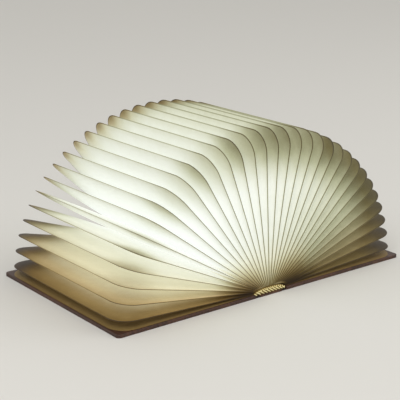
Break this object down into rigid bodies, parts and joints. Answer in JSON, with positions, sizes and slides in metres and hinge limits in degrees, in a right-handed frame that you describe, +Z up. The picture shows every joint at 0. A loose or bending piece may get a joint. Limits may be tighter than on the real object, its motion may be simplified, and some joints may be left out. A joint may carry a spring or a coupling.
{
  "type": "folding book lamp",
  "caption": "Rechargeable lamp shaped like a hardback book: a fan of puffed paper pockets unfolds from a lit spine as the covers open.",
  "frame": {"origin": "middle of the underside, on the surface that the open book lies on", "axes": "+X across the open book to the right cover, +Y along the spine from tail to head, +Z up"},
  "size_m": [0.3826, 0.219, 0.1724],
  "materials": {
    "page_leaf": "spunbonded paper-like sheet, matte, lit from inside",
    "end_leaf": "spunbonded paper-like sheet, matte",
    "cover_veneer": "dark stained veneer, satin",
    "cover_core": "dark stained board, satin",
    "gutter_cloth": "book cloth, matte",
    "channel": "extruded, natural",
    "diffuser": "frosted",
    "strip_board": "white solder mask",
    "lamp_chip": "phosphor",
    "end_moulding": "moulded, fine texture",
    "cell_foil": "foil pouch",
    "circuit_board": "green solder mask",
    "socket_shell": "stamped sheet",
    "light_pipe": "clear",
    "magnet_plate": "nickel plated",
    "chip_black": "moulded"
  },
  "bodies": {
    "spine": {"spine_skin": "cover_veneer", "spine_board": "cover_core", "led_tray": "channel", "led_diffuser": "diffuser", "led_board": "strip_board", "led_chips": "lamp_chip", "tray_cap": "end_moulding", "battery_pack": "cell_foil", "control_board": "circuit_board", "usb_socket": "socket_shell", "port_block": "end_moulding", "charge_indicator": "light_pipe", "opening_sensor": "chip_black", "gather_tail_left": "page_leaf", "gather_tail_right": "page_leaf", "gather_head_left": "page_leaf", "gather_head_right": "page_leaf", "gutter_left": "gutter_cloth", "gutter_right": "gutter_cloth"},
    "left_cover": {"cover_board_left": "cover_core", "cover_skin_left": "cover_veneer", "cover_magnets_left": "magnet_plate", "trigger_magnet": "magnet_plate", "end_leaf_left": "end_leaf"},
    "right_cover": {"cover_board_right": "cover_core", "cover_skin_right": "cover_veneer", "cover_magnets_right": "magnet_plate", "end_leaf_right": "end_leaf"},
    "page_01_pocket": {"page_01": "page_leaf"},
    "page_02_pocket": {"page_02": "page_leaf"},
    "page_03_pocket": {"page_03": "page_leaf"},
    "page_04_pocket": {"page_04": "page_leaf"},
    "page_05_pocket": {"page_05": "page_leaf"},
    "page_06_pocket": {"page_06": "page_leaf"},
    "page_07_pocket": {"page_07": "page_leaf"},
    "page_08_pocket": {"page_08": "page_leaf"},
    "page_09_pocket": {"page_09": "page_leaf"},
    "page_10_pocket": {"page_10": "page_leaf"},
    "page_11_pocket": {"page_11": "page_leaf"},
    "page_12_pocket": {"page_12": "page_leaf"},
    "page_13_pocket": {"page_13": "page_leaf"},
    "page_14_pocket": {"page_14": "page_leaf"},
    "page_15_pocket": {"page_15": "page_leaf"},
    "page_16_pocket": {"page_16": "page_leaf"},
    "page_17_pocket": {"page_17": "page_leaf"},
    "page_18_pocket": {"page_18": "page_leaf"},
    "page_19_pocket": {"page_19": "page_leaf"},
    "page_20_pocket": {"page_20": "page_leaf"},
    "page_21_pocket": {"page_21": "page_leaf"},
    "page_22_pocket": {"page_22": "page_leaf"},
    "page_23_pocket": {"page_23": "page_leaf"},
    "page_24_pocket": {"page_24": "page_leaf"},
    "page_25_pocket": {"page_25": "page_leaf"},
    "page_26_pocket": {"page_26": "page_leaf"},
    "page_27_pocket": {"page_27": "page_leaf"},
    "page_28_pocket": {"page_28": "page_leaf"},
    "page_29_pocket": {"page_29": "page_leaf"},
    "page_30_pocket": {"page_30": "page_leaf"},
    "page_31_pocket": {"page_31": "page_leaf"},
    "page_32_pocket": {"page_32": "page_leaf"}
  },
  "joints": [
    {"name": "left_cover_hinge", "type": "hinge", "parent": "spine", "child": "left_cover", "pos_m": [-0.0128, 0, 0.0044], "axis": [0, 1, 0], "range_deg": [-92.6, 90], "deforming": ["gutter_left", "gather_tail_left", "gather_head_left"]},
    {"name": "right_cover_hinge", "type": "hinge", "parent": "spine", "child": "right_cover", "pos_m": [0.0128, 0, 0.0044], "axis": [0, -1, 0], "range_deg": [-92.6, 90], "deforming": ["gutter_right", "gather_tail_right", "gather_head_right"]},
    {"name": "page_01_fold", "type": "hinge", "parent": "spine", "child": "page_01_pocket", "pos_m": [-0.0124, 0, 0.00439], "axis": [0, 1, 0], "range_deg": [-89.71, 87.19]},
    {"name": "page_02_fold", "type": "hinge", "parent": "spine", "child": "page_02_pocket", "pos_m": [-0.0116, 0, 0.00432], "axis": [0, 1, 0], "range_deg": [-83.92, 81.57]},
    {"name": "page_03_fold", "type": "hinge", "parent": "spine", "child": "page_03_pocket", "pos_m": [-0.0108, 0, 0.00418], "axis": [0, 1, 0], "range_deg": [-78.14, 75.94]},
    {"name": "page_04_fold", "type": "hinge", "parent": "spine", "child": "page_04_pocket", "pos_m": [-0.01, 0, 0.00397], "axis": [0, 1, 0], "range_deg": [-72.35, 70.32]},
    {"name": "page_05_fold", "type": "hinge", "parent": "spine", "child": "page_05_pocket", "pos_m": [-0.0092, 0, 0.0037], "axis": [0, 1, 0], "range_deg": [-66.56, 64.69]},
    {"name": "page_06_fold", "type": "hinge", "parent": "spine", "child": "page_06_pocket", "pos_m": [-0.0084, 0, 0.0034], "axis": [0, 1, 0], "range_deg": [-60.77, 59.07]},
    {"name": "page_07_fold", "type": "hinge", "parent": "spine", "child": "page_07_pocket", "pos_m": [-0.0076, 0, 0.00305], "axis": [0, 1, 0], "range_deg": [-54.99, 53.44]},
    {"name": "page_08_fold", "type": "hinge", "parent": "spine", "child": "page_08_pocket", "pos_m": [-0.0068, 0, 0.00269], "axis": [0, 1, 0], "range_deg": [-49.2, 47.82]},
    {"name": "page_09_fold", "type": "hinge", "parent": "spine", "child": "page_09_pocket", "pos_m": [-0.006, 0, 0.00231], "axis": [0, 1, 0], "range_deg": [-43.41, 42.19]},
    {"name": "page_10_fold", "type": "hinge", "parent": "spine", "child": "page_10_pocket", "pos_m": [-0.0052, 0, 0.00195], "axis": [0, 1, 0], "range_deg": [-37.62, 36.57]},
    {"name": "page_11_fold", "type": "hinge", "parent": "spine", "child": "page_11_pocket", "pos_m": [-0.0044, 0, 0.0016], "axis": [0, 1, 0], "range_deg": [-31.84, 30.94]},
    {"name": "page_12_fold", "type": "hinge", "parent": "spine", "child": "page_12_pocket", "pos_m": [-0.0036, 0, 0.00129], "axis": [0, 1, 0], "range_deg": [-26.05, 25.32]},
    {"name": "page_13_fold", "type": "hinge", "parent": "spine", "child": "page_13_pocket", "pos_m": [-0.0028, 0, 0.00103], "axis": [0, 1, 0], "range_deg": [-20.26, 19.69]},
    {"name": "page_14_fold", "type": "hinge", "parent": "spine", "child": "page_14_pocket", "pos_m": [-0.002, 0, 0.00082], "axis": [0, 1, 0], "range_deg": [-14.47, 14.07]},
    {"name": "page_15_fold", "type": "hinge", "parent": "spine", "child": "page_15_pocket", "pos_m": [-0.0012, 0, 0.00068], "axis": [0, 1, 0], "range_deg": [-8.69, 8.44]},
    {"name": "page_16_fold", "type": "hinge", "parent": "spine", "child": "page_16_pocket", "pos_m": [-0.0004, 0, 0.00061], "axis": [0, 1, 0], "range_deg": [-2.9, 2.82]},
    {"name": "page_17_fold", "type": "hinge", "parent": "spine", "child": "page_17_pocket", "pos_m": [0.0004, 0, 0.00061], "axis": [0, -1, 0], "range_deg": [-2.9, 2.82]},
    {"name": "page_18_fold", "type": "hinge", "parent": "spine", "child": "page_18_pocket", "pos_m": [0.0012, 0, 0.00068], "axis": [0, -1, 0], "range_deg": [-8.69, 8.44]},
    {"name": "page_19_fold", "type": "hinge", "parent": "spine", "child": "page_19_pocket", "pos_m": [0.002, 0, 0.00082], "axis": [0, -1, 0], "range_deg": [-14.47, 14.07]},
    {"name": "page_20_fold", "type": "hinge", "parent": "spine", "child": "page_20_pocket", "pos_m": [0.0028, 0, 0.00103], "axis": [0, -1, 0], "range_deg": [-20.26, 19.69]},
    {"name": "page_21_fold", "type": "hinge", "parent": "spine", "child": "page_21_pocket", "pos_m": [0.0036, 0, 0.00129], "axis": [0, -1, 0], "range_deg": [-26.05, 25.32]},
    {"name": "page_22_fold", "type": "hinge", "parent": "spine", "child": "page_22_pocket", "pos_m": [0.0044, 0, 0.0016], "axis": [0, -1, 0], "range_deg": [-31.84, 30.94]},
    {"name": "page_23_fold", "type": "hinge", "parent": "spine", "child": "page_23_pocket", "pos_m": [0.0052, 0, 0.00195], "axis": [0, -1, 0], "range_deg": [-37.62, 36.57]},
    {"name": "page_24_fold", "type": "hinge", "parent": "spine", "child": "page_24_pocket", "pos_m": [0.006, 0, 0.00231], "axis": [0, -1, 0], "range_deg": [-43.41, 42.19]},
    {"name": "page_25_fold", "type": "hinge", "parent": "spine", "child": "page_25_pocket", "pos_m": [0.0068, 0, 0.00269], "axis": [0, -1, 0], "range_deg": [-49.2, 47.82]},
    {"name": "page_26_fold", "type": "hinge", "parent": "spine", "child": "page_26_pocket", "pos_m": [0.0076, 0, 0.00305], "axis": [0, -1, 0], "range_deg": [-54.99, 53.44]},
    {"name": "page_27_fold", "type": "hinge", "parent": "spine", "child": "page_27_pocket", "pos_m": [0.0084, 0, 0.0034], "axis": [0, -1, 0], "range_deg": [-60.77, 59.07]},
    {"name": "page_28_fold", "type": "hinge", "parent": "spine", "child": "page_28_pocket", "pos_m": [0.0092, 0, 0.0037], "axis": [0, -1, 0], "range_deg": [-66.56, 64.69]},
    {"name": "page_29_fold", "type": "hinge", "parent": "spine", "child": "page_29_pocket", "pos_m": [0.01, 0, 0.00397], "axis": [0, -1, 0], "range_deg": [-72.35, 70.32]},
    {"name": "page_30_fold", "type": "hinge", "parent": "spine", "child": "page_30_pocket", "pos_m": [0.0108, 0, 0.00418], "axis": [0, -1, 0], "range_deg": [-78.14, 75.94]},
    {"name": "page_31_fold", "type": "hinge", "parent": "spine", "child": "page_31_pocket", "pos_m": [0.0116, 0, 0.00432], "axis": [0, -1, 0], "range_deg": [-83.92, 81.57]},
    {"name": "page_32_fold", "type": "hinge", "parent": "spine", "child": "page_32_pocket", "pos_m": [0.0124, 0, 0.00439], "axis": [0, -1, 0], "range_deg": [-89.71, 87.19]}
  ],
  "couplings": [
    {"joint": "page_01_fold", "follows": "left_cover_hinge", "ratio": 0.96875},
    {"joint": "page_02_fold", "follows": "left_cover_hinge", "ratio": 0.90625},
    {"joint": "page_03_fold", "follows": "left_cover_hinge", "ratio": 0.84375},
    {"joint": "page_04_fold", "follows": "left_cover_hinge", "ratio": 0.78125},
    {"joint": "page_05_fold", "follows": "left_cover_hinge", "ratio": 0.71875},
    {"joint": "page_06_fold", "follows": "left_cover_hinge", "ratio": 0.65625},
    {"joint": "page_07_fold", "follows": "left_cover_hinge", "ratio": 0.59375},
    {"joint": "page_08_fold", "follows": "left_cover_hinge", "ratio": 0.53125},
    {"joint": "page_09_fold", "follows": "left_cover_hinge", "ratio": 0.46875},
    {"joint": "page_10_fold", "follows": "left_cover_hinge", "ratio": 0.40625},
    {"joint": "page_11_fold", "follows": "left_cover_hinge", "ratio": 0.34375},
    {"joint": "page_12_fold", "follows": "left_cover_hinge", "ratio": 0.28125},
    {"joint": "page_13_fold", "follows": "left_cover_hinge", "ratio": 0.21875},
    {"joint": "page_14_fold", "follows": "left_cover_hinge", "ratio": 0.15625},
    {"joint": "page_15_fold", "follows": "left_cover_hinge", "ratio": 0.09375},
    {"joint": "page_16_fold", "follows": "left_cover_hinge", "ratio": 0.03125},
    {"joint": "page_17_fold", "follows": "right_cover_hinge", "ratio": 0.03125},
    {"joint": "page_18_fold", "follows": "right_cover_hinge", "ratio": 0.09375},
    {"joint": "page_19_fold", "follows": "right_cover_hinge", "ratio": 0.15625},
    {"joint": "page_20_fold", "follows": "right_cover_hinge", "ratio": 0.21875},
    {"joint": "page_21_fold", "follows": "right_cover_hinge", "ratio": 0.28125},
    {"joint": "page_22_fold", "follows": "right_cover_hinge", "ratio": 0.34375},
    {"joint": "page_23_fold", "follows": "right_cover_hinge", "ratio": 0.40625},
    {"joint": "page_24_fold", "follows": "right_cover_hinge", "ratio": 0.46875},
    {"joint": "page_25_fold", "follows": "right_cover_hinge", "ratio": 0.53125},
    {"joint": "page_26_fold", "follows": "right_cover_hinge", "ratio": 0.59375},
    {"joint": "page_27_fold", "follows": "right_cover_hinge", "ratio": 0.65625},
    {"joint": "page_28_fold", "follows": "right_cover_hinge", "ratio": 0.71875},
    {"joint": "page_29_fold", "follows": "right_cover_hinge", "ratio": 0.78125},
    {"joint": "page_30_fold", "follows": "right_cover_hinge", "ratio": 0.84375},
    {"joint": "page_31_fold", "follows": "right_cover_hinge", "ratio": 0.90625},
    {"joint": "page_32_fold", "follows": "right_cover_hinge", "ratio": 0.96875}
  ]
}
